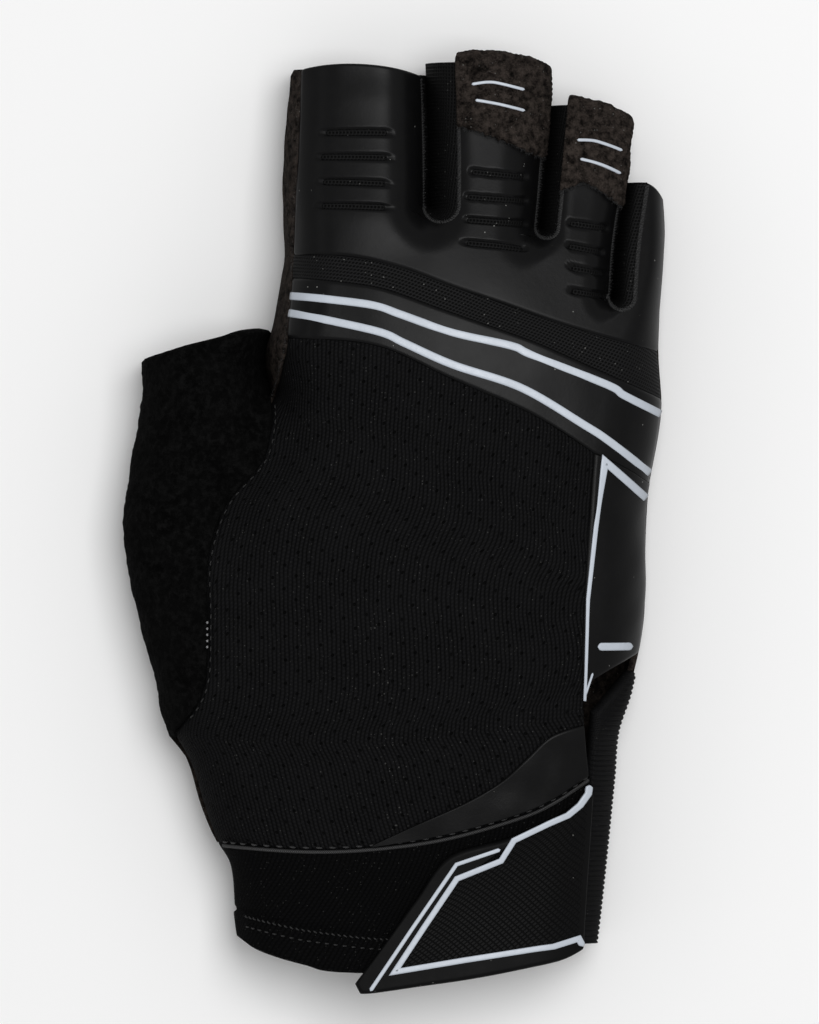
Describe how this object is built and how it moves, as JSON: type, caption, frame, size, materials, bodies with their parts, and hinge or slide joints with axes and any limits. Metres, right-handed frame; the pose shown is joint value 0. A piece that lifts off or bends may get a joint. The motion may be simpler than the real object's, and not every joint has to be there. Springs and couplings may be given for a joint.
{
  "type": "weightlifting glove",
  "caption": "Half-finger weightlifting glove for the right hand, with suede palm, smooth knuckle overlay, knit back, pull tabs and a wrist closure tab.",
  "frame": {"origin": "middle of the bottom of the glove's bounding box, on the surface that the palm lies on", "axes": "+X towards the little-finger side, +Y towards the fingertips, +Z out of the back of the hand"},
  "size_m": [0.119, 0.2068, 0.036],
  "materials": {
    "suede": "napped, mottled brown-black",
    "overlay": "smooth matt synthetic leather",
    "mesh": "coarse woven mesh",
    "knit": "fine rib knit",
    "nap": "brushed towelling",
    "elastic": "cross-ribbed elastic",
    "moulded": "moulded, with a diamond grain"
  },
  "bodies": {
    "root": {"palm_panel": "suede", "knuckle_panel": "overlay", "mesh_strip": "mesh", "stripe_band": "overlay", "back_panel": "knit", "side_panel": "overlay", "wrist_patch": "overlay", "thumb_sleeve": "nap", "index_middle_sidewall": "mesh", "middle_ring_sidewall": "mesh", "ring_little_sidewall": "mesh", "middle_pull_tab": "suede", "ring_pull_tab": "suede", "cuff": "knit", "edge_binding": "elastic", "strap_tab": "moulded"}
  },
  "joints": []
}
